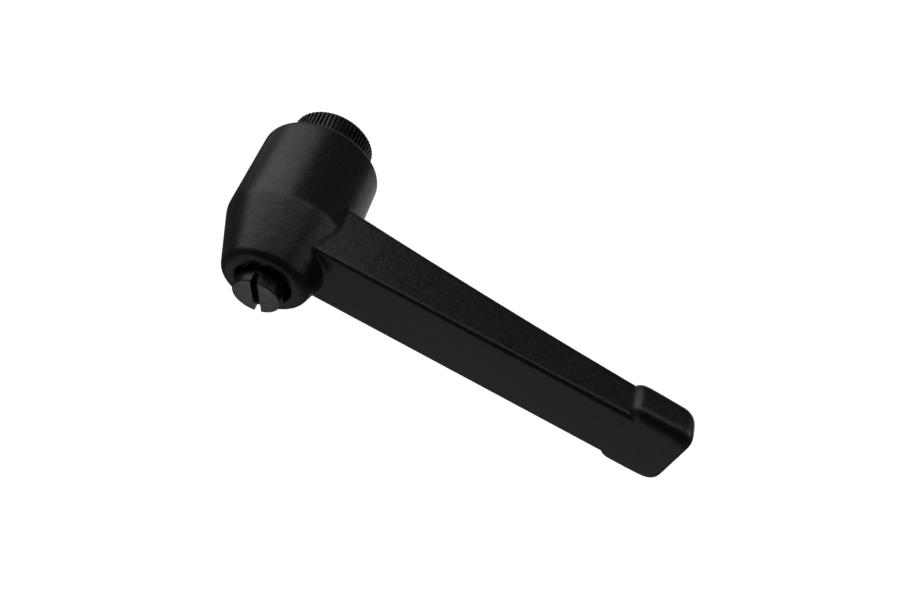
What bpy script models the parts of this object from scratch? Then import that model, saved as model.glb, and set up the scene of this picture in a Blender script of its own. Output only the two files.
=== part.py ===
"""Adjustable clamping lever, 72.5 mm reach, with an M10 serrated steel insert.

Units are metres, +Z up.  The origin is the centre of the insert's seat face,
+Z runs up the clamping axis towards the retaining screw, and the arm points
along +X and climbs away from the clamped surface.
"""

import math

import bmesh
import bpy

MM = 0.001
TOUCH = 0.01 * MM           # places closer than this are the same place

# serrated steel insert
COLLAR_RADIUS = 7.7 * MM
COLLAR_LENGTH = 12.3 * MM
COLLAR_CHAMFER = 0.5 * MM
TOOTH_COUNT = 60
TOOTH_DEPTH = 0.5 * MM
TOOTH_TIP_SHARE = 0.34      # share of the pitch taken by a tooth's flat tip
TOOTH_ROOT_SHARE = 0.22     # share of the pitch taken by the groove's flat floor
NECK_RADIUS = 5.9 * MM
NECK_TOP = 18.7 * MM
STUD_BORE_RADIUS = 4.25 * MM    # minor diameter of the M10 female thread
STUD_BORE_DEPTH = 13.0 * MM

# retaining screw, M5 cheese head
SCREW_HEAD_RADIUS = 4.2 * MM
SCREW_HEAD_HEIGHT = 3.3 * MM
SCREW_HEAD_CHAMFER = 0.35 * MM
SCREW_SHANK_RADIUS = 2.5 * MM
SCREW_SHANK_LENGTH = 20.0 * MM
SCREW_PROUD = 2.8 * MM      # how far the head stands above the hub
SLOT_WIDTH = 1.2 * MM
SLOT_DEPTH = 2.0 * MM
SLOT_ANGLE = math.radians(96.0)

# handle hub
HUB_RADIUS = 11.0 * MM
HUB_BOTTOM = 6.8 * MM
HUB_SHOULDER = 24.0 * MM    # where the cylinder turns into the cone
HUB_TOP = 35.0 * MM
HUB_TOP_RADIUS = 7.3 * MM
HUB_BOTTOM_ROUND = 0.9 * MM
HUB_TOP_ROUND = 1.2 * MM
WEB_THICKNESS = 3.0 * MM

# handle arm, measured along X from the clamping axis
ARM_ROOT_HALF_WIDTH = 6.7 * MM      # root values are taken on the clamping axis
ARM_TIP_HALF_WIDTH = 6.555 * MM     # tip values are taken at full reach
ARM_ROOT_TOP = 28.5 * MM
ARM_TIP_TOP = 42.275 * MM
ARM_ROOT_BOTTOM = 16.4 * MM
ARM_TIP_BOTTOM = 36.45 * MM
ARM_BOTTOM_BOW = 0.6 * MM           # how far the underside arches up at mid reach
ARM_EDGE_ROUND = 0.9 * MM
REACH = 72.5 * MM
PAD_LENGTH = 9.0 * MM
PAD_RAMP = 1.6 * MM
PAD_EXTRA = 2.0 * MM        # how far the tip pad stands out on each side
PAD_CORNER = 2.6 * MM

# compression spring
WIRE_RADIUS = 0.4 * MM
SPRING_TURNS = 6.0
SPRING_END_TURNS = 1.0      # closed turns at each end, counted in the turns
WIRE_SIDES = 6
STEPS_PER_TURN = 16

# fits
SERRATION_CLEARANCE = 0.10 * MM  # radial
FLANK_CLEARANCE = 0.04 * MM
REST_GAP = 0.3 * MM         # between pieces that rest on each other
SHANK_CLEARANCE = 0.3 * MM
POCKET_CLEARANCE = 0.6 * MM     # round the screw head and the spring
RELIEF_CLEARANCE = 0.6 * MM     # round the collar, above the toothed socket
SOCKET_OVERRUN = 0.3 * MM       # how far the toothed socket passes the collar's top
CUT_PAST = 2.0 * MM         # how far cutters run past the faces they open

ROUND_SEGMENTS = 64
BORE_SEGMENTS = 48
ARC_STEPS = 4
ARM_STEPS = 5

WEB_BOTTOM = NECK_TOP + REST_GAP
WEB_TOP = WEB_BOTTOM + WEB_THICKNESS
SCREW_FACE = HUB_TOP + SCREW_PROUD
SCREW_HEAD_BOTTOM = SCREW_FACE - SCREW_HEAD_HEIGHT
SCREW_TIP = SCREW_HEAD_BOTTOM - SCREW_SHANK_LENGTH
SCREW_HOLE_RADIUS = SCREW_SHANK_RADIUS + SHANK_CLEARANCE
SPRING_RADIUS = SCREW_HEAD_RADIUS - WIRE_RADIUS     # to the middle of the wire
POCKET_RADIUS = SCREW_HEAD_RADIUS + POCKET_CLEARANCE
RELIEF_RADIUS = COLLAR_RADIUS + RELIEF_CLEARANCE
SOCKET_TOP = COLLAR_LENGTH + SOCKET_OVERRUN


def clear_scene():
    for item in list(bpy.data.objects):
        bpy.data.objects.remove(item)


def make_material(name, colour, roughness, metallic):
    material = bpy.data.materials.new(name)
    material.use_nodes = True
    shader = material.node_tree.nodes["Principled BSDF"]
    shader.inputs["Base Color"].default_value = (*colour, 1.0)
    shader.inputs["Roughness"].default_value = roughness
    shader.inputs["Metallic"].default_value = metallic
    return material


def make_object(name, shape, material=None):
    """Turn a bmesh into a named object, with its faces pointing out."""
    bmesh.ops.recalc_face_normals(shape, faces=shape.faces)
    mesh = bpy.data.meshes.new(name)
    shape.to_mesh(mesh)
    shape.free()
    item = bpy.data.objects.new(name, mesh)
    bpy.context.scene.collection.objects.link(item)
    if material:
        mesh.materials.append(material)
    return item


def shade_round(item, angle=math.radians(35.0)):
    item.data.shade_smooth()
    item.data.set_sharp_from_angle(angle=angle)


def ring_points(radii, height):
    """Points of one ring, evenly spread, at the given radii."""
    step = math.tau / len(radii)
    return [(r * math.cos(i * step), r * math.sin(i * step), height) for i, r in enumerate(radii)]


def stack_rings(rings):
    """Closed solid through rings of equal point counts, capped at both ends."""
    shape = bmesh.new()
    loops = [[shape.verts.new(point) for point in ring] for ring in rings]
    count = len(loops[0])
    for lower, upper in zip(loops, loops[1:]):
        for i in range(count):
            j = (i + 1) % count
            shape.faces.new((lower[i], lower[j], upper[j], upper[i]))
    shape.faces.new(reversed(loops[0]))
    shape.faces.new(loops[-1])
    return shape


def turned_solid(profile, segments):
    """Solid of revolution about Z through (radius, height) pairs, bottom to top."""
    return stack_rings([ring_points([radius] * segments, height) for radius, height in profile])


def arc(centre_radius, centre_height, size, start, end):
    """Profile points along an arc, angles in degrees from the outward direction."""
    points = []
    for i in range(ARC_STEPS + 1):
        angle = math.radians(start + (end - start) * i / ARC_STEPS)
        points.append((centre_radius + size * math.cos(angle), centre_height + size * math.sin(angle)))
    return points


def tooth_ring(tip_radius, root_radius, height, growth):
    """Ring of straight teeth; growth widens every tooth by that much on each flank."""
    pitch = math.tau / TOOTH_COUNT
    half_tip = pitch * TOOTH_TIP_SHARE / 2 + growth / tip_radius
    half_root = pitch * (1 - TOOTH_ROOT_SHARE) / 2 + growth / root_radius
    corners = ((-half_root, root_radius), (-half_tip, tip_radius),
               (half_tip, tip_radius), (half_root, root_radius))
    points = []
    for tooth in range(TOOTH_COUNT):
        for turn, radius in corners:
            angle = tooth * pitch + turn
            points.append((radius * math.cos(angle), radius * math.sin(angle), height))
    return points


def cut(item, cutter, operation="DIFFERENCE"):
    modifier = item.modifiers.new(cutter.name, "BOOLEAN")
    modifier.operation = operation
    modifier.object = cutter
    cutter.hide_render = True
    cutter.display_type = "WIRE"


def make_insert(material):
    """Steel insert: serrated collar, plain neck, M10 bore below and M5 bore above."""
    root_radius = COLLAR_RADIUS - TOOTH_DEPTH
    teeth = stack_rings([
        tooth_ring(root_radius, root_radius, 0.0, 0.0),
        tooth_ring(COLLAR_RADIUS, root_radius, COLLAR_CHAMFER, 0.0),
        tooth_ring(COLLAR_RADIUS, root_radius, COLLAR_LENGTH - COLLAR_CHAMFER, 0.0),
        tooth_ring(root_radius, root_radius, COLLAR_LENGTH, 0.0),
    ])
    insert = make_object("serrated_insert", teeth, material)
    neck = turned_solid([(NECK_RADIUS, CUT_PAST), (NECK_RADIUS, NECK_TOP)], BORE_SEGMENTS)
    cut(insert, make_object("insert_neck", neck), "UNION")
    stud_bore = turned_solid([(STUD_BORE_RADIUS, -CUT_PAST),
                              (STUD_BORE_RADIUS, STUD_BORE_DEPTH)], BORE_SEGMENTS)
    cut(insert, make_object("stud_bore_cutter", stud_bore))
    screw_bore = turned_solid([(SCREW_HOLE_RADIUS, STUD_BORE_DEPTH - CUT_PAST),
                               (SCREW_HOLE_RADIUS, NECK_TOP + CUT_PAST)], BORE_SEGMENTS)
    cut(insert, make_object("screw_bore_cutter", screw_bore))
    shade_round(insert)
    return insert


def make_screw(material):
    """Slotted cheese head screw that holds the handle and the spring on the insert."""
    chamfer = SCREW_HEAD_CHAMFER
    profile = [
        (SCREW_SHANK_RADIUS - chamfer, SCREW_TIP),
        (SCREW_SHANK_RADIUS, SCREW_TIP + chamfer),
        (SCREW_SHANK_RADIUS, SCREW_HEAD_BOTTOM),
        (SCREW_HEAD_RADIUS, SCREW_HEAD_BOTTOM),
        (SCREW_HEAD_RADIUS, SCREW_FACE - chamfer),
        (SCREW_HEAD_RADIUS - chamfer, SCREW_FACE),
    ]
    screw = make_object("retaining_screw", turned_solid(profile, BORE_SEGMENTS), material)
    slot = bmesh.new()
    bmesh.ops.create_cube(slot, size=1.0)
    height = SLOT_DEPTH + CUT_PAST
    bmesh.ops.scale(slot, verts=slot.verts, vec=(4 * SCREW_HEAD_RADIUS, SLOT_WIDTH, height))
    cutter = make_object("slot_cutter", slot)
    cutter.location = (0.0, 0.0, SCREW_FACE - SLOT_DEPTH + height / 2)
    cutter.rotation_euler = (0.0, 0.0, SLOT_ANGLE)
    cut(screw, cutter)
    shade_round(screw)
    return screw


def coil_height(turn, low, high):
    """Height of the wire's middle after so many turns, with closed end turns."""
    wire = 2 * WIRE_RADIUS
    open_turns = SPRING_TURNS - 2 * SPRING_END_TURNS
    climb = high - low - 2 * SPRING_END_TURNS * wire
    if turn < SPRING_END_TURNS:
        return low + turn * wire
    if turn > SPRING_TURNS - SPRING_END_TURNS:
        return high - (SPRING_TURNS - turn) * wire
    return low + SPRING_END_TURNS * wire + climb * (turn - SPRING_END_TURNS) / open_turns


def make_spring(material):
    """Compression spring between the hub's web and the underside of the screw head."""
    low = WEB_TOP + REST_GAP + WIRE_RADIUS
    high = SCREW_HEAD_BOTTOM - REST_GAP - WIRE_RADIUS
    steps = round(SPRING_TURNS * STEPS_PER_TURN)
    shape = bmesh.new()
    loops = []
    for step in range(steps + 1):
        turn = step / STEPS_PER_TURN
        angle = turn * math.tau
        height = coil_height(turn, low, high)
        loop = []
        for side in range(WIRE_SIDES):
            around = math.tau * side / WIRE_SIDES
            radius = SPRING_RADIUS + WIRE_RADIUS * math.cos(around)
            rise = WIRE_RADIUS * math.sin(around)
            point = (radius * math.cos(angle), radius * math.sin(angle), height + rise)
            loop.append(shape.verts.new(point))
        loops.append(loop)
    for first, second in zip(loops, loops[1:]):
        for i in range(WIRE_SIDES):
            j = (i + 1) % WIRE_SIDES
            shape.faces.new((first[i], first[j], second[j], second[i]))
    shape.faces.new(loops[0])
    shape.faces.new(reversed(loops[-1]))
    spring = make_object("spring", shape, material)
    shade_round(spring, math.radians(70.0))
    return spring


def along_arm(root, tip, x):
    """A size that changes evenly from its root value to its tip value, at x along the arm."""
    return root + (tip - root) * x / REACH


def arm_half_width(x):
    return along_arm(ARM_ROOT_HALF_WIDTH, ARM_TIP_HALF_WIDTH, x)


def arm_section(x, half_width):
    """Rectangular section across the arm at x."""
    share = x / REACH
    bow = 4 * ARM_BOTTOM_BOW * share * (1 - share)
    low = along_arm(ARM_ROOT_BOTTOM, ARM_TIP_BOTTOM, x) + bow
    high = along_arm(ARM_ROOT_TOP, ARM_TIP_TOP, x)
    return [(x, -half_width, low), (x, half_width, low),
            (x, half_width, high), (x, -half_width, high)]


def arm_sections():
    """Sections from the clamping axis to the tip: the plain arm, then the wider pad."""
    pad_start = REACH - PAD_LENGTH
    ramp_start = pad_start - PAD_RAMP
    pad_width = arm_half_width(pad_start) + PAD_EXTRA
    sections = []
    for i in range(ARM_STEPS + 1):
        x = ramp_start * i / ARM_STEPS
        sections.append(arm_section(x, arm_half_width(x)))
    sections.append(arm_section(pad_start, pad_width))
    sections.append(arm_section(REACH, pad_width))
    return sections


def make_arm():
    arm = make_object("handle_arm", stack_rings(arm_sections()))
    weights = arm.data.attributes.new("bevel_weight_edge", "FLOAT", "EDGE")
    for edge in arm.data.edges:
        first, second = (arm.data.vertices[i].co for i in edge.vertices)
        at_tip = min(first.x, second.x) > REACH - TOUCH
        weights.data[edge.index].value = float(at_tip and first.y * second.y > 0)
    corner = arm.modifiers.new("pad_corner", "BEVEL")
    corner.width = PAD_CORNER
    corner.segments = ARC_STEPS
    corner.limit_method = "WEIGHT"
    bevel = arm.modifiers.new("edge_round", "BEVEL")
    bevel.width = ARM_EDGE_ROUND
    bevel.segments = 2
    bevel.limit_method = "ANGLE"
    bevel.angle_limit = math.radians(55.0)
    return arm


def make_lever(material):
    """Die-cast handle: coned hub with toothed socket, web and spring pocket, and the arm."""
    low_round = arc(HUB_RADIUS - HUB_BOTTOM_ROUND, HUB_BOTTOM + HUB_BOTTOM_ROUND,
                    HUB_BOTTOM_ROUND, -90, 0)
    top_round = arc(HUB_TOP_RADIUS - HUB_TOP_ROUND, HUB_TOP - HUB_TOP_ROUND,
                    HUB_TOP_ROUND, 20, 90)
    hub = turned_solid([*low_round, (HUB_RADIUS, HUB_SHOULDER), *top_round], ROUND_SEGMENTS)
    lever = make_object("lever", hub, material)
    cut(lever, make_arm(), "UNION")

    tip_radius = COLLAR_RADIUS + SERRATION_CLEARANCE
    root_radius = tip_radius - TOOTH_DEPTH
    socket = stack_rings([
        tooth_ring(tip_radius, root_radius, HUB_BOTTOM - CUT_PAST, FLANK_CLEARANCE),
        tooth_ring(tip_radius, root_radius, SOCKET_TOP + CUT_PAST, FLANK_CLEARANCE),
    ])
    cut(lever, make_object("socket_cutter", socket))
    relief = turned_solid([(RELIEF_RADIUS, SOCKET_TOP), (RELIEF_RADIUS, WEB_BOTTOM)], BORE_SEGMENTS)
    cut(lever, make_object("relief_cutter", relief))
    web_hole = turned_solid([(SCREW_HOLE_RADIUS, WEB_BOTTOM - CUT_PAST),
                             (SCREW_HOLE_RADIUS, WEB_TOP + CUT_PAST)], BORE_SEGMENTS)
    cut(lever, make_object("web_hole_cutter", web_hole))
    pocket = turned_solid([(POCKET_RADIUS, WEB_TOP),
                           (POCKET_RADIUS, HUB_TOP + CUT_PAST)], BORE_SEGMENTS)
    cut(lever, make_object("spring_pocket_cutter", pocket))
    shade_round(lever)
    return lever


def main():
    clear_scene()
    make_insert(make_material("blackened_steel", (0.035, 0.035, 0.037), 0.42, 0.85))
    make_screw(make_material("screw_steel", (0.09, 0.09, 0.092), 0.38, 0.9))
    make_spring(make_material("spring_wire", (0.25, 0.24, 0.22), 0.3, 1.0))
    make_lever(make_material("black_coated_zinc", (0.028, 0.029, 0.032), 0.45, 0.2))


main()
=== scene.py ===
from math import atan2, cos, pi, radians, sin

import bpy
from mathutils import Euler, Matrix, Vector


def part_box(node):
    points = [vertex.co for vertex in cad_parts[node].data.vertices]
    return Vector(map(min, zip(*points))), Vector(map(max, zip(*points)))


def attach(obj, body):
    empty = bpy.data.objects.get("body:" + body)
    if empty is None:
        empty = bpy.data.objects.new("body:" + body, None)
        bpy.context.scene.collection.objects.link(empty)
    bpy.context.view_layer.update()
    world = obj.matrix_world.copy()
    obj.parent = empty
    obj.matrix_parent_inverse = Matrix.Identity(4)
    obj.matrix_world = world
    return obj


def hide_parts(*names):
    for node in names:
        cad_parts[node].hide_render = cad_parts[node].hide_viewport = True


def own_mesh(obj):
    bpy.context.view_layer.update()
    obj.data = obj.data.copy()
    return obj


mm = 0.001
touch = 0.01 * mm        # two places closer than this are the same place
past = 2 * mm            # how far a cutter or a joined piece runs past the face it meets

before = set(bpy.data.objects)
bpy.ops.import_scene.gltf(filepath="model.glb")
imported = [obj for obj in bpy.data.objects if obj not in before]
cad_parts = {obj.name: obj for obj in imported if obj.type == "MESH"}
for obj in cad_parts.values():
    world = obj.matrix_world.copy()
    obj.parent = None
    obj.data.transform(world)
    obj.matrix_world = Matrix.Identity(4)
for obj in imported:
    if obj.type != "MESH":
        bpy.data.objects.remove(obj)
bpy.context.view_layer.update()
print("frame loaded:", ", ".join(sorted(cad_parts)))


def clearSelection():
    if bpy.context.object and bpy.context.object.mode != "OBJECT":
        bpy.ops.object.mode_set(mode="OBJECT")
    bpy.ops.object.select_all(action="DESELECT")


def makeActive(piece):
    clearSelection()
    piece.select_set(True)
    bpy.context.view_layer.objects.active = piece


def pick(piece, kind, test):
    # leaves the piece in edit mode with only the verts, edges or faces that pass the test selected
    makeActive(piece)
    mesh = piece.data
    for group in (mesh.vertices, mesh.edges, mesh.polygons):
        group.foreach_set("select", [False] * len(group))
    if kind == "VERT":
        for vert in mesh.vertices:
            vert.select = test(vert.co)
    elif kind == "EDGE":
        for edge in mesh.edges:
            edge.select = test(*(mesh.vertices[i].co for i in edge.vertices))
    else:
        for face in mesh.polygons:
            face.select = test(face)
    bpy.context.tool_settings.mesh_select_mode = [kind == each for each in ("VERT", "EDGE", "FACE")]
    bpy.ops.object.mode_set(mode="EDIT")


def everything(*_):
    return True


def applyModifiers(piece):
    makeActive(piece)
    for modifier in list(piece.modifiers):
        bpy.ops.object.modifier_apply(modifier=modifier.name)


def addModifier(piece, kind, **settings):
    modifier = piece.modifiers.new(kind.lower(), kind)
    for name, value in settings.items():
        setattr(modifier, name, value)
    return modifier


def boolean(piece, other, operation="DIFFERENCE", solver="EXACT"):
    addModifier(piece, "BOOLEAN", object=other, operation=operation, solver=solver)
    applyModifiers(piece)
    bpy.data.objects.remove(other)


def addCylinder(name, radius, low, high, sides=192, turned=0.0):
    clearSelection()
    bpy.ops.mesh.primitive_cylinder_add(vertices=sides, radius=radius, depth=high - low,
                                        location=(0, 0, (low + high) / 2), rotation=(0, 0, turned))
    piece = bpy.context.object
    piece.name = name
    bpy.ops.object.transform_apply(location=True, rotation=True)
    return piece


def bevelRing(piece, height, width, segments=1):
    # chamfers the ring of edges at that height, or rounds it with more segments
    pick(piece, "EDGE", lambda a, b: max(abs(a.z - height), abs(b.z - height)) < touch)
    bpy.ops.mesh.bevel(offset=width, segments=segments, affect="EDGES", clamp_overlap=False)
    bpy.ops.object.mode_set(mode="OBJECT")


def finishPiece(piece, body, node, material, sharp=32.0):
    makeActive(piece)
    bpy.ops.object.shade_smooth_by_angle(angle=radians(sharp))
    piece.data.materials.clear()
    piece.data.materials.append(material)
    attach(piece, body)
    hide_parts(node)
    print(piece.name, "has", len(piece.data.polygons), "faces")
    return piece


# serrations: straight teeth round a cylinder that has four corners for each tooth

serrations = {
    "count": 60,
    "depth": 0.5 * mm,
    "tipShare": 0.34,                  # flat on each tooth, as a share of the pitch
    "rootShare": 0.22,                 # flat between two teeth, as a share of the pitch
    "turned": radians(0.75),           # an eighth of the pitch, so no corner is in a tooth's middle
}


def addToothed(name, radius, low, high, size=serrations):
    piece = addCylinder(name, radius, low, high, 4 * size["count"], size["turned"])
    pitch = 2 * pi / size["count"]

    def place(co):
        share = atan2(co.y, co.x) / pitch
        return share - round(share)      # -0.5 to 0.5, 0 at the middle of a tooth

    # every second pair of corners goes in to the roots
    share = 1 - size["depth"] / radius
    pick(piece, "VERT", lambda co: co.xy.length > radius - touch and abs(place(co)) > 0.25)
    bpy.ops.transform.resize(value=(share, share, 1), center_override=(0, 0, 0))
    bpy.ops.object.mode_set(mode="OBJECT")

    # then each corner goes round to the edge of its flat; a corner starts 1 or 3 eighths off the middle
    corners = ((0.125, size["tipShare"] / 2), (0.375, 0.5 - size["rootShare"] / 2))
    near = 0.03
    for old, new in corners:
        for side in (-1, 1):
            pick(piece, "VERT", lambda co: abs(place(co) - side * old) < near)
            bpy.ops.transform.rotate(value=side * (old - new) * pitch, orient_axis="Z",
                                     center_override=(0, 0, 0))
            bpy.ops.object.mode_set(mode="OBJECT")
    return piece


# lever

leverLow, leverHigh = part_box("lever")
insertLow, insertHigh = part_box("serrated_insert")
screwLow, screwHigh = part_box("retaining_screw")

lever = {
    "hubRadius": leverHigh.y,
    "bottom": leverLow.z,
    "bottomRound": 0.9 * mm,
    "shoulder": 24.0 * mm,             # where the cylinder turns into the cone
    "shoulderRound": 0.55 * mm,
    "top": 35.0 * mm,
    "topRadius": 7.3 * mm,
    "topRound": 1.2 * mm,
    "reach": leverHigh.x,
    "rootHeights": (16.4 * mm, 28.6 * mm),     # of the arm's two faces, on the clamping axis
    "tipHeights": (36.45 * mm, leverHigh.z + 0.25 * mm),     # and at the reach
    "bow": 0.6 * mm,                   # arch of the underside at mid reach
    "sections": 8,                     # straight stretches that make the arch
    "armShort": 3 * mm,                # of the reach, inside the pad
    "rootWidth": 13.6 * mm,
    "tipWidth": 13.5 * mm,
    "edgeRound": 0.8 * mm,
    "padLength": 10.6 * mm,
    "padShoulder": 2.1 * mm,           # round of its two corners beside the arm
    "padWidth": 17.1 * mm,
    "padCorner": 2.6 * mm,
    "padDrop": 0.35 * mm,              # of its underside below the arm's
    "padLift": 2 * touch,              # keeps its top face off the arm's
    "padRounds": (1.9 * mm, 1.9 * mm),         # along its bottom and its top
    "fillet": (1.0 * mm, 6),           # blend of arm and hub: its reach, and rounds of smoothing
    "endRound": (5.5 * mm, 70),        # soft round over the end, given the same way
    "endTrim": 0.45 * mm,              # what that round takes off the reach
    "startRound": (4.0 * mm, 40),      # soft round under the pad's start
    "startRoundIn": 1 * mm,            # of its middle, past that start
    "grain": 0.26 * mm,                # size of the faces
    "socket": (insertHigh.x + 0.1 * mm, 12.6 * mm),      # radius and top of the toothed socket
    "relief": (8.3 * mm, 19.0 * mm),           # plain bore above the teeth: radius and top
    "webTop": 22.0 * mm,
    "webHole": 2.8 * mm,               # radius of the screw's hole through the web
    "pocket": 4.8 * mm,                # radius of the bore that holds the spring and the screw's head
    "mouth": 0.3 * mm,                 # chamfer round the two open ends
}


def buildHub(size):
    hub = addCylinder("lever_body", size["hubRadius"], size["bottom"], size["top"])
    pick(hub, "VERT", everything)
    bpy.ops.mesh.bisect(plane_co=(0, 0, size["shoulder"]), plane_no=(0, 0, 1))
    share = size["topRadius"] / size["hubRadius"]
    pick(hub, "VERT", lambda co: co.z > size["top"] - touch)
    bpy.ops.transform.resize(value=(share, share, 1), center_override=(0, 0, size["top"]))
    bpy.ops.object.mode_set(mode="OBJECT")
    bevelRing(hub, size["bottom"], size["bottomRound"], segments=6)
    bevelRing(hub, size["shoulder"], size["shoulderRound"], segments=4)
    bevelRing(hub, size["top"], size["topRound"], segments=6)
    return hub


def alongArm(size, x):
    # bottom, top and half width of the arm at x
    share = x / size["reach"]
    low, high = (a + (b - a) * share for a, b in zip(size["rootHeights"], size["tipHeights"]))
    low += 4 * size["bow"] * share * (1 - share)
    return low, high, (size["rootWidth"] + (size["tipWidth"] - size["rootWidth"]) * share) / 2


def addBar(size, start, end, drop=0.0):
    # a box between two places along the arm, with the arm's section at each, and its underside dropped
    low, high, half = alongArm(size, start)
    endLow, endHigh, endHalf = alongArm(size, end)
    middle, endMiddle = (low + high) / 2, (endLow + endHigh) / 2
    clearSelection()
    bpy.ops.mesh.primitive_cube_add(size=1, location=((start + end) / 2, 0, middle),
                                    scale=(end - start, 2 * half, high - low))
    bar = bpy.context.object
    bpy.ops.object.transform_apply(location=True, scale=True)
    pick(bar, "VERT", lambda co: co.x > end - touch)
    bpy.ops.transform.resize(value=(1, endHalf / half, (endHigh - endLow) / (high - low)),
                             center_override=(end, 0, middle))
    bpy.ops.transform.translate(value=(0, 0, endMiddle - middle))
    pick(bar, "VERT", lambda co: co.z < sum(alongArm(size, co.x)[:2]) / 2)
    bpy.ops.transform.translate(value=(0, 0, -drop))
    bpy.ops.object.mode_set(mode="OBJECT")
    return bar


def buildArm(size):
    end = size["reach"] - size["armShort"]
    arm = addBar(size, 0, end)
    rootLow, endLow = alongArm(size, 0)[0], alongArm(size, end)[0]
    sections = [end * i / size["sections"] for i in range(1, size["sections"])]
    for x in sections:
        pick(arm, "VERT", everything)
        bpy.ops.mesh.bisect(plane_co=(x, 0, 0), plane_no=(1, 0, 0))
    for x in sections:
        low, high, _ = alongArm(size, x)
        rise = low - (rootLow + (endLow - rootLow) * x / end)
        pick(arm, "VERT", lambda co: abs(co.x - x) < touch and co.z < (low + high) / 2)
        bpy.ops.transform.translate(value=(0, 0, rise))
    pick(arm, "EDGE", lambda a, b: abs(a.x - b.x) > touch and a.y * b.y > 0)
    bpy.ops.mesh.bevel(offset=size["edgeRound"], segments=6, affect="EDGES", clamp_overlap=False)
    bpy.ops.object.mode_set(mode="OBJECT")
    return arm


def buildPad(size):
    reach = size["reach"] + size["endTrim"]
    start = size["reach"] - size["padLength"]
    pad = addBar(size, start, reach, size["padDrop"])
    pick(pad, "VERT", everything)
    bpy.ops.transform.resize(value=(1, size["padWidth"] / 2 / alongArm(size, start)[2], 1),
                             center_override=(start, 0, 0))
    bpy.ops.transform.translate(value=(0, 0, size["padLift"]))
    for x, width in ((reach, size["padCorner"]), (start, size["padShoulder"])):
        pick(pad, "EDGE", lambda a, b: max(abs(a.x - x), abs(b.x - x)) < touch
             and abs(a.y - b.y) < touch)
        bpy.ops.mesh.bevel(offset=width, segments=8, affect="EDGES", clamp_overlap=False)

    def onTop(co):
        return co.z > sum(alongArm(size, co.x)[:2]) / 2

    for top, width in enumerate(size["padRounds"]):
        pick(pad, "EDGE", lambda a, b: onTop(a) == onTop(b) == bool(top))
        bpy.ops.mesh.bevel(offset=width, segments=6, affect="EDGES", clamp_overlap=False)
    bpy.ops.object.mode_set(mode="OBJECT")
    return pad


def soften(piece, distance, span, rounds):
    # smooths where distance() is under span, fully at 0 and fading out towards span
    group = piece.vertex_groups.new(name="soften")
    for vert in piece.data.vertices:
        near = 1 - distance(vert.co) / span
        if near > 0:
            group.add([vert.index], near * near * (3 - 2 * near), "REPLACE")
    addModifier(piece, "SMOOTH", factor=0.5, iterations=rounds, vertex_group=group.name)
    applyModifiers(piece)
    piece.vertex_groups.clear()


def buildLever(size):
    hub, pad = buildHub(size), buildPad(size)
    boolean(hub, buildArm(size), "UNION")
    print("lever joined:", len(hub.data.polygons), "faces")
    for part in (hub, pad):
        addModifier(part, "REMESH", mode="VOXEL", voxel_size=size["grain"])
        addModifier(part, "SMOOTH", factor=0.5, iterations=2)
        applyModifiers(part)

    cone = (size["hubRadius"] - size["topRadius"]) / (size["top"] - size["shoulder"])

    def offRoot(co):
        # how far a point is from the line where the arm's faces meet the hub's
        low, high, half = alongArm(size, co.x)
        radius = size["hubRadius"] - cone * max(0.0, co.z - size["shoulder"])
        fromArm = max(low - co.z, co.z - high, abs(co.y) - half)
        return max(abs(co.xy.length - radius), abs(fromArm)) if co.x > 0 else size["reach"]

    padStart = size["reach"] - size["padLength"]
    startLow = alongArm(size, padStart)[0]

    def offEnd(co):
        # how far a point is from the end's upper edge
        return Vector((co.x - size["reach"], co.z - size["tipHeights"][1])).length

    def offStart(co):
        # how far a point is from the underside just past the pad's start
        return Vector((co.x - padStart - size["startRoundIn"], co.z - startLow)).length

    soften(hub, offRoot, *size["fillet"])
    soften(pad, offEnd, *size["endRound"])
    soften(pad, offStart, *size["startRound"])
    boolean(hub, pad, "UNION", "MANIFOLD")
    print("lever shaped:", len(hub.data.polygons), "faces")
    return hub


def flare(cutter, radius, height, mouth, up):
    # widens the cutter's open end at 45 degrees, for a chamfered mouth at that height
    pick(cutter, "VERT", everything)
    bpy.ops.mesh.bisect(plane_co=(0, 0, height - up * mouth), plane_no=(0, 0, 1))
    pick(cutter, "VERT", lambda co: (co.z - height) * up > touch)
    share = (radius + mouth + past) / radius
    bpy.ops.transform.resize(value=(share, share, 1), center_override=(0, 0, height))
    bpy.ops.object.mode_set(mode="OBJECT")


def cutLever(piece, size):
    socketRadius, socketTop = size["socket"]
    socket = addToothed("socket", socketRadius, size["bottom"] - past, socketTop + past)
    flare(socket, socketRadius, size["bottom"], size["mouth"], -1)
    reliefRadius, reliefTop = size["relief"]
    relief = addCylinder("relief", reliefRadius, socketTop, reliefTop)
    webHole = addCylinder("web_hole", size["webHole"], reliefTop - past, size["webTop"] + past, 96)
    pocket = addCylinder("pocket", size["pocket"], size["webTop"], size["top"] + past)
    flare(pocket, size["pocket"], size["top"], size["mouth"], 1)
    for cutter in (socket, relief, webHole, pocket):
        boolean(piece, cutter, solver="MANIFOLD")


leverPiece = buildLever(lever)
cutLever(leverPiece, lever)


# shader parts that more than one finish uses


class Group:
    # a node group with named inputs and outputs, and short calls to fill it
    def __init__(self, name, inputs, outputs):
        self.tree = bpy.data.node_groups.new(name, "ShaderNodeTree")
        kinds = {float: "NodeSocketFloat", tuple: "NodeSocketColor"}
        for label, value in inputs.items():
            made = self.tree.interface.new_socket(label, in_out="INPUT", socket_type=kinds[type(value)])
            made.default_value = value
        for label, kind in outputs.items():
            self.tree.interface.new_socket(label, in_out="OUTPUT", socket_type="NodeSocket" + kind)
        self.given = self.tree.nodes.new("NodeGroupInput").outputs
        self.result = self.tree.nodes.new("NodeGroupOutput").inputs

    def node(self, kind, links=None, **settings):
        return addNode(self.tree, kind, links, **settings)


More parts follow.
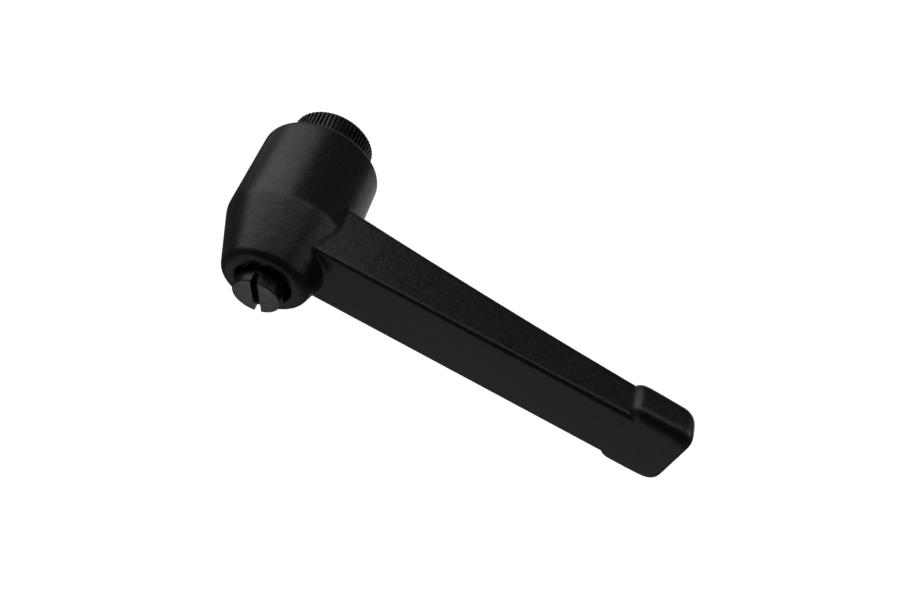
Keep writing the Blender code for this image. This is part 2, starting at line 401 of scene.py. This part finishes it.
def addNode(tree, kind, links=None, **settings):
    # links gives each input a socket to join or a value to hold
    made = tree.nodes.new("ShaderNode" + kind)
    for name, value in settings.items():
        setattr(made, name, value)
    for name, value in (links or {}).items():
        if isinstance(value, bpy.types.NodeSocket):
            tree.links.new(value, made.inputs[name])
        else:
            made.inputs[name].default_value = value
    return made


def math(tree, operation, first, second=0.0):
    return addNode(tree, "Math", {0: first, 1: second}, operation=operation).outputs[0]


def spread(tree, value, low, high, toLow=0.0, toHigh=1.0):
    # takes low..high smoothly to toLow..toHigh
    links = {"Value": value, "From Min": low, "From Max": high, "To Min": toLow, "To Max": toHigh}
    return addNode(tree, "MapRange", links, interpolation_type="SMOOTHSTEP").outputs[0]


def noise(tree, place, scale, detail=3.0, rough=0.55):
    links = {"Vector": place, "Scale": scale, "Detail": detail, "Roughness": rough}
    return addNode(tree, "TexNoise", links).outputs["Fac"]


def blend(tree, share, first, second):
    # a Mix node's colours are its inputs 6 and 7 and its output 2
    made = addNode(tree, "Mix", {"Factor": share}, data_type="RGBA")
    for index, value in ((6, first), (7, second)):
        if isinstance(value, bpy.types.NodeSocket):
            tree.links.new(value, made.inputs[index])
        else:
            made.inputs[index].default_value = value
    return made.outputs[2]


def castSkinGroup():
    # coated casting: leathery skin, cloudy colour, a few pale specks
    group = Group("cast_skin",
                  {"Grain": 1100.0, "Dark": (0.01, 0.01, 0.01, 1.0), "Light": (0.02, 0.02, 0.02, 1.0),
                   "Speck": (0.2, 0.2, 0.2, 1.0), "Smoothest": 0.36, "Roughest": 0.5},
                  {"Color": "Color", "Roughness": "Float", "Height": "Float"})
    tree, given = group.tree, group.given
    place = group.node("TexCoord").outputs["Object"]
    fine = noise(tree, place, given["Grain"], 5.0, 0.62)
    pitted = noise(tree, place, math(tree, "MULTIPLY", given["Grain"], 2.3), 2.0)
    cloud = noise(tree, place, math(tree, "MULTIPLY", given["Grain"], 0.16), 4.0)
    broad = noise(tree, place, math(tree, "MULTIPLY", given["Grain"], 0.35), 2.0)
    dust = noise(tree, place, math(tree, "MULTIPLY", given["Grain"], 1.7), 1.0)
    specks = spread(tree, dust, 0.765, 0.8)
    shade = spread(tree, math(tree, "ADD", math(tree, "MULTIPLY", cloud, 0.6),
                              math(tree, "MULTIPLY", fine, 0.4)), 0.3, 0.7)
    colour = blend(tree, shade, given["Dark"], given["Light"])
    tree.links.new(blend(tree, specks, colour, given["Speck"]), group.result["Color"])
    rough = group.node("MapRange", {"Value": fine, "From Min": 0.3, "From Max": 0.7,
                                    "To Min": given["Smoothest"], "To Max": given["Roughest"]})
    tree.links.new(rough.outputs[0], group.result["Roughness"])
    height = math(tree, "ADD", math(tree, "MULTIPLY", fine, 0.3),
                  math(tree, "ADD", math(tree, "MULTIPLY", broad, 0.5),
                       math(tree, "MULTIPLY", pitted, 0.1)))
    tree.links.new(height, group.result["Height"])
    return group.tree


def rubbedEdgeGroup():
    # 1 on corners that hands and tools have rubbed, broken up by a noise
    group = Group("rubbed_edge", {"Width": 0.0006, "From": 0.02, "To": 0.12, "Patchy": 0.5},
                  {"Mask": "Float"})
    tree, given = group.tree, group.given
    rounded = group.node("Bevel", {"Radius": given["Width"]}, samples=6).outputs[0]
    flat = group.node("NewGeometry").outputs["Normal"]
    same = group.node("VectorMath", {0: rounded, 1: flat}, operation="DOT_PRODUCT").outputs["Value"]
    bent = spread(tree, math(tree, "SUBTRACT", 1.0, same), given["From"], given["To"])
    place = group.node("TexCoord").outputs["Object"]
    patch = spread(tree, noise(tree, place, 700.0, 4.0), 0.35, 0.6)
    kept = math(tree, "SUBTRACT", 1.0, math(tree, "MULTIPLY", given["Patchy"],
                                            math(tree, "SUBTRACT", 1.0, patch)))
    tree.links.new(math(tree, "MULTIPLY", bent, kept), group.result["Mask"])
    return group.tree


def turnedSteelGroup():
    # lathe marks run round the clamping axis, over a stained colour; above FaceFrom the colour turns
    # mostly to the lighter Face colour
    group = Group("turned_steel",
                  {"Marks": 9000.0, "Dark": (0.05, 0.05, 0.05, 1.0), "Light": (0.1, 0.1, 0.1, 1.0),
                   "Smoothest": 0.28, "Roughest": 0.45, "Stain": 260.0,
                   "Face": (0.1, 0.1, 0.1, 1.0), "FaceFrom": 1.0},
                  {"Color": "Color", "Roughness": "Float", "Height": "Float"})
    tree, given = group.tree, group.given
    place = group.node("TexCoord").outputs["Object"]
    axes = group.node("SeparateXYZ", {0: place}).outputs
    radius = math(tree, "SQRT", math(tree, "ADD", math(tree, "MULTIPLY", axes[0], axes[0]),
                                     math(tree, "MULTIPLY", axes[1], axes[1])))
    section = group.node("CombineXYZ", {0: radius, 1: axes[2]}).outputs[0]
    marks = noise(tree, section, given["Marks"], 3.0, 0.7)
    stain = noise(tree, place, given["Stain"], 5.0, 0.6)
    shade = spread(tree, math(tree, "ADD", math(tree, "MULTIPLY", marks, 0.45),
                              math(tree, "MULTIPLY", stain, 0.55)), 0.32, 0.68)
    onFace = spread(tree, axes[2], given["FaceFrom"], math(tree, "ADD", given["FaceFrom"], 0.1 * mm))
    face = blend(tree, math(tree, "MULTIPLY", shade, 0.35), given["Face"], given["Dark"])
    colour = blend(tree, onFace, blend(tree, shade, given["Dark"], given["Light"]), face)
    tree.links.new(colour, group.result["Color"])
    rough = group.node("MapRange", {"Value": stain, "From Min": 0.3, "From Max": 0.7,
                                    "To Min": given["Smoothest"], "To Max": given["Roughest"]})
    tree.links.new(rough.outputs[0], group.result["Roughness"])
    tree.links.new(marks, group.result["Height"])
    return group.tree


castSkin, rubbedEdge, turnedSteel = castSkinGroup(), rubbedEdgeGroup(), turnedSteelGroup()


def finishMaterial(name, skin, settings, edge, rub, bump, metallic=0.0):
    # a Principled surface: a skin group, a rubbed colour on its edges and a bump
    material = bpy.data.materials.new(name)
    material.use_nodes = True
    tree = material.node_tree
    surface = tree.nodes["Principled BSDF"]
    skinNode = addNode(tree, "Group", node_tree=skin)
    edgeNode = addNode(tree, "Group", node_tree=rubbedEdge)
    for node, values in ((skinNode, settings), (edgeNode, edge)):
        for label, value in values.items():
            node.inputs[label].default_value = value
    mask = edgeNode.outputs["Mask"]
    tree.links.new(blend(tree, mask, skinNode.outputs["Color"], rub), surface.inputs["Base Color"])
    tree.links.new(skinNode.outputs["Roughness"], surface.inputs["Roughness"])
    links = {"Height": skinNode.outputs["Height"], "Distance": bump, "Strength": 1.0}
    tree.links.new(addNode(tree, "Bump", links).outputs[0], surface.inputs["Normal"])
    surface.inputs["Metallic"].default_value = metallic
    return material


coatedZinc = finishMaterial(
    "coated_zinc", castSkin,
    {"Grain": 1300.0, "Dark": (0.004, 0.0043, 0.005, 1), "Light": (0.009, 0.0095, 0.011, 1),
     "Speck": (0.08, 0.08, 0.08, 1), "Smoothest": 0.27, "Roughest": 0.41},
    {"Width": 0.6 * mm, "From": 0.02, "To": 0.12, "Patchy": 0.6},
    (0.02, 0.021, 0.023, 1), 0.09 * mm)

blackenedSteel = finishMaterial(
    "blackened_steel", turnedSteel,
    {"Marks": 7000.0, "Dark": (0.03, 0.03, 0.031, 1), "Light": (0.08, 0.08, 0.082, 1),
     "Smoothest": 0.3, "Roughest": 0.46, "Stain": 420.0},
    {"Width": 0.2 * mm, "From": 0.03, "To": 0.25, "Patchy": 0.4},
    (0.2, 0.198, 0.195, 1), 0.012 * mm, metallic=1.0)

screwSteel = finishMaterial(
    "screw_steel", turnedSteel,
    {"Marks": 6000.0, "Dark": (0.022, 0.019, 0.016, 1), "Light": (0.07, 0.062, 0.052, 1),
     "Smoothest": 0.26, "Roughest": 0.42, "Stain": 500.0,
     "Face": (0.2, 0.196, 0.192, 1), "FaceFrom": screwHigh.z - 0.2 * mm},
    {"Width": 0.2 * mm, "From": 0.03, "To": 0.25, "Patchy": 0.4},
    (0.2, 0.19, 0.175, 1), 0.012 * mm, metallic=1.0)

springSteel = finishMaterial(
    "spring_steel", turnedSteel,
    {"Marks": 12000.0, "Dark": (0.2, 0.19, 0.17, 1), "Light": (0.36, 0.34, 0.31, 1),
     "Smoothest": 0.2, "Roughest": 0.36, "Stain": 900.0},
    {"Width": 0.1 * mm, "From": 0.02, "To": 0.2, "Patchy": 0.3},
    (0.4, 0.39, 0.37, 1), 0.006 * mm, metallic=1.0)
print("finishes made")

finishPiece(leverPiece, "lever", "lever", coatedZinc)


# a V thread, as a coil that is cut out of a shank or a bore

thread = {
    "half": 0.42,                      # half the V's opening, as a share of the pitch
    "steps": 48,                       # in each turn
}


def addThread(radius, depth, pitch, low, high, size=thread):
    clearSelection()
    bpy.ops.mesh.primitive_circle_add(vertices=4, radius=depth, location=(radius, 0, low),
                                      rotation=(pi / 2, 0, 0))
    coil = bpy.context.object
    bpy.ops.object.transform_apply(location=True, rotation=True)
    pick(coil, "VERT", everything)
    bpy.ops.transform.resize(value=(1, 1, size["half"] * pitch / depth),
                             center_override=(radius, 0, low))
    bpy.ops.object.mode_set(mode="OBJECT")
    turns = int((high - low) / pitch)
    addModifier(coil, "SCREW", axis="Z", iterations=turns, screw_offset=pitch, steps=size["steps"],
                render_steps=size["steps"], use_merge_vertices=False, use_smooth_shade=False)
    applyModifiers(coil)
    pick(coil, "EDGE", everything)
    bpy.ops.mesh.fill_holes(sides=8)
    bpy.ops.mesh.select_all(action="SELECT")
    bpy.ops.mesh.normals_make_consistent(inside=False)
    bpy.ops.object.mode_set(mode="OBJECT")
    return coil


insert = {
    "radius": insertHigh.x,
    "bottom": insertLow.z,
    "collarTop": 12.3 * mm,
    "chamfer": 0.5 * mm,
    "neckRadius": 5.9 * mm,
    "neckChamfer": 0.4 * mm,
    "top": insertHigh.z,
    "bore": 4.25 * mm,                 # minor radius of the stud's thread
    "boreTop": 13.0 * mm,
    "boreMouth": 5.1 * mm,             # radius of its countersink
    "threadDepth": 0.8 * mm,
    "threadPitch": 1.5 * mm,
    "threadShort": 0.8 * mm,           # of the bore's top
    "screwHole": 2.8 * mm,
}


def buildInsert(size):
    bottom, collarTop = size["bottom"], size["collarTop"]
    collar = addToothed("insert_body", size["radius"], bottom, collarTop)
    blank = addCylinder("blank", size["radius"] + touch, bottom, collarTop)
    for height in (bottom, collarTop):
        bevelRing(blank, height, size["chamfer"])
    boolean(collar, blank, "INTERSECT")
    neck = addCylinder("neck", size["neckRadius"], collarTop - past, size["top"], 128)
    bevelRing(neck, size["top"], size["neckChamfer"])
    boolean(collar, neck, "UNION")
    bore = addCylinder("bore", size["bore"], bottom - past, size["boreTop"], 96)
    boolean(collar, bore)
    clearSelection()
    sink = size["boreMouth"] - size["bore"] + past
    bpy.ops.mesh.primitive_cone_add(vertices=96, radius1=size["boreMouth"] + past,
                                    radius2=size["bore"], depth=sink,
                                    location=(0, 0, bottom - past + sink / 2))
    countersink = bpy.context.object
    bpy.ops.object.transform_apply(location=True)
    boolean(collar, countersink)
    coil = addThread(size["bore"], size["threadDepth"], size["threadPitch"],
                     bottom, size["boreTop"] - size["threadShort"])
    boolean(collar, coil)
    hole = addCylinder("screw_hole", size["screwHole"], size["boreTop"] - past, size["top"] + past, 96)
    boolean(collar, hole)
    return collar


finishPiece(buildInsert(insert), "insert_and_screw", "serrated_insert",
            blackenedSteel, 25.0)

screw = {
    "headRadius": screwHigh.x,
    "top": screwHigh.z,
    "headBottom": 34.5 * mm,
    "headRound": 0.38 * mm,
    "headUnderRound": 0.15 * mm,
    "slotWidth": 1.2 * mm,
    "slotDepth": 2.0 * mm,
    "slotTurn": 96.0,                  # degrees from +X
    "slotEdge": 0.06 * mm,             # round of its two edges
    "shankRadius": 2.5 * mm,
    "shankInHead": 1 * mm,
    "tip": screwLow.z,
    "tipChamfer": 0.5 * mm,
    "threadTop": 22.0 * mm,
    "threadDepth": 0.43 * mm,
    "threadPitch": 0.8 * mm,
}


def buildScrew(size):
    head = addCylinder("screw_body", size["headRadius"], size["headBottom"], size["top"], 144)
    bevelRing(head, size["top"], size["headRound"], segments=4)
    bevelRing(head, size["headBottom"], size["headUnderRound"], segments=2)
    shankTop = size["headBottom"] + size["shankInHead"]
    shank = addCylinder("shank", size["shankRadius"], size["tip"], shankTop, 96)
    bevelRing(shank, size["tip"], size["tipChamfer"])
    boolean(head, shank, "UNION")
    coil = addThread(size["shankRadius"], size["threadDepth"], size["threadPitch"],
                     size["tip"] - size["threadPitch"], size["threadTop"])
    boolean(head, coil)
    clearSelection()
    turn = radians(size["slotTurn"])
    bpy.ops.mesh.primitive_cube_add(size=1, location=(0, 0, size["top"]),
                                    scale=(3 * size["headRadius"], size["slotWidth"],
                                           2 * size["slotDepth"]))
    slot = bpy.context.object
    slot.rotation_euler.z = turn
    bpy.ops.object.transform_apply(location=True, rotation=True, scale=True)
    boolean(head, slot)

    def atSlot(co):
        # on one of the slot's two walls
        return abs(abs(co.y * cos(turn) - co.x * sin(turn)) - size["slotWidth"] / 2) < touch

    pick(head, "EDGE", lambda a, b: atSlot(a) and atSlot(b) and (a - b).length > touch
         and min(a.z, b.z) > size["top"] - touch)
    bpy.ops.mesh.bevel(offset=size["slotEdge"], segments=2, affect="EDGES")
    bpy.ops.object.mode_set(mode="OBJECT")
    return head


finishPiece(buildScrew(screw), "insert_and_screw", "retaining_screw", screwSteel, 28.0)

springLow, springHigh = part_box("spring")
wire = 0.8 * mm
spring = {
    "wire": wire,
    "low": springLow.z,
    "high": springHigh.z,
    "radius": springHigh.x - wire / 2,         # of the wire's middle
    "turns": 6,
    "closedTurns": 1,                  # at each end
    "closedPitch": 1.02,               # of those turns, as a share of the wire
    "ground": 0.3,                     # taken off each end, as a share of the wire
    "steps": 32,                       # in each turn
    "keep": 0.496,                     # of its length at full lift
}


def buildSpring(size):
    curve = bpy.data.curves.new("spring_body", "CURVE")
    curve.dimensions = "3D"
    curve.bevel_depth = size["wire"] / 2
    curve.bevel_resolution = 3
    curve.use_fill_caps = True
    line = curve.splines.new("POLY")
    line.points.add(size["turns"] * size["steps"])         # the line starts with one point
    closed, free = size["closedTurns"], size["turns"] - 2 * size["closedTurns"]
    ground = size["ground"] * size["wire"]
    low, high = size["low"] + size["wire"] / 2 - ground, size["high"] - size["wire"] / 2 + ground
    rise = size["wire"] * size["closedPitch"]
    for i, point in enumerate(line.points):
        turn = i / size["steps"]
        angle = 2 * pi * turn
        share = min(max((turn - closed) / free, 0.0), 1.0)
        ends = min(turn, closed) + max(0.0, turn - closed - free)
        height = low + rise * ends + (high - low - 2 * closed * rise) * share
        point.co = (size["radius"] * cos(angle), size["radius"] * sin(angle), height, 1)
    piece = bpy.data.objects.new("spring_body", curve)
    bpy.context.scene.collection.objects.link(piece)
    makeActive(piece)
    bpy.ops.object.convert(target="MESH")
    piece = bpy.context.object
    for height, outer in ((size["low"], False), (size["high"], True)):
        pick(piece, "VERT", everything)
        bpy.ops.mesh.bisect(plane_co=(0, 0, height), plane_no=(0, 0, 1), use_fill=True,
                            clear_inner=not outer, clear_outer=outer)
        bpy.ops.object.mode_set(mode="OBJECT")
    return piece


springPiece = finishPiece(buildSpring(spring), "spring", "spring", springSteel, 40.0)
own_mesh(springPiece)

# studio

camera = {
    "place": (27.85 * mm, 117.96 * mm, 109.19 * mm),
    "aim": (30.12 * mm, 0.15 * mm, 25.74 * mm),
    "roll": 161.56,                    # degrees
    "lens": 33.74,
}


def addCamera(size):
    place, aim = Vector(size["place"]), Vector(size["aim"])
    data = bpy.data.cameras.new("camera")
    data.lens = size["lens"]
    data.clip_start = 1 * mm
    piece = bpy.data.objects.new("camera", data)
    piece.location = place
    look = (aim - place).to_track_quat("-Z", "Y")
    piece.rotation_euler = (look @ Euler((0, 0, -radians(size["roll"]))).to_quaternion()).to_euler()
    bpy.context.scene.collection.objects.link(piece)
    bpy.context.scene.camera = piece


panels = {
    # name: direction from the part, distance, width, height, power
    "left_panel": ((-0.69, 0.60, -0.37), 0.45, 0.52, 0.40, 0.85),
    "front_strip": ((0.06, 0.99, -0.12), 0.50, 0.50, 0.15, 0.25),
    "side_strip": ((0.88, 0.40, -0.18), 0.55, 0.45, 0.14, 0.24),
    "back_panel": ((0.02, -0.86, 0.52), 0.60, 0.80, 0.40, 0.155),
    "right_panel": ((0.50, -0.60, -0.62), 0.60, 0.60, 0.26, 0.24),
    "under_panel": ((-0.15, -0.30, -0.94), 0.60, 0.70, 0.60, 0.40),
    "top_panel": ((-0.35, -0.35, 0.87), 0.60, 0.60, 0.30, 0.18),
}
studio = {
    "centre": (25 * mm, 0, 22 * mm),
    "floor": -0.25,                    # height, well below the part
    "floorSize": 20,
    "paper": 1.0,                      # brightness of floor and background
    "panelTint": (0.95, 0.96, 1.0),
    "dome": 0.07,                      # soft light from all round
    "domeTint": (0.80, 0.88, 1.0, 1),
    "shaded": (0.0, 0.80, 0.60),       # direction of the dome's darker patch
    "shadedDome": 0.03,                # light from that patch
}


def addPanel(name, direction, distance, width, height, power):
    data = bpy.data.lights.new(name, "AREA")
    data.shape, data.size, data.size_y, data.energy = "RECTANGLE", width, height, power
    data.color = studio["panelTint"]
    piece = bpy.data.objects.new(name, data)
    away = Vector(direction).normalized()
    piece.location = Vector(studio["centre"]) + away * distance
    piece.rotation_euler = away.to_track_quat("Z", "Y").to_euler()
    piece.visible_camera = False
    bpy.context.scene.collection.objects.link(piece)


def addFloor():
    # a white sweep that only the camera sees, so that the panels alone light the part
    clearSelection()
    bpy.ops.mesh.primitive_plane_add(size=studio["floorSize"], location=(0, 0, studio["floor"]))
    piece = bpy.context.object
    piece.name = "floor"
    paper = bpy.data.materials.new("paper")
    paper.use_nodes = True
    surface = paper.node_tree.nodes["Principled BSDF"]
    surface.inputs["Base Color"].default_value = (0.8, 0.8, 0.8, 1)
    surface.inputs["Emission Color"].default_value = (1, 1, 1, 1)
    surface.inputs["Emission Strength"].default_value = studio["paper"]
    piece.data.materials.append(paper)
    piece.visible_diffuse = piece.visible_glossy = piece.visible_shadow = False


def addWorld():
    world = bpy.data.worlds.new("studio")
    world.use_nodes = True
    tree = world.node_tree
    seen = addNode(tree, "LightPath").outputs["Is Camera Ray"]
    ray = addNode(tree, "TexCoord").outputs["Generated"]
    toShade = addNode(tree, "VectorMath", {0: ray, 1: studio["shaded"]}, operation="DOT_PRODUCT")
    dome = spread(tree, toShade.outputs["Value"], 0.6, 0.9, studio["dome"], studio["shadedDome"])
    strength = addNode(tree, "Mix", {0: seen, 2: dome, 3: studio["paper"]}).outputs[0]
    tree.links.new(strength, tree.nodes["Background"].inputs["Strength"])
    tint = blend(tree, seen, studio["domeTint"], (1, 1, 1, 1))
    tree.links.new(tint, tree.nodes["Background"].inputs["Color"])
    bpy.context.scene.world = world
    bpy.context.scene.view_settings.view_transform = "Standard"


addCamera(camera)
for name, values in panels.items():
    addPanel(name, *values)
addFloor()
addWorld()
print("studio lit")
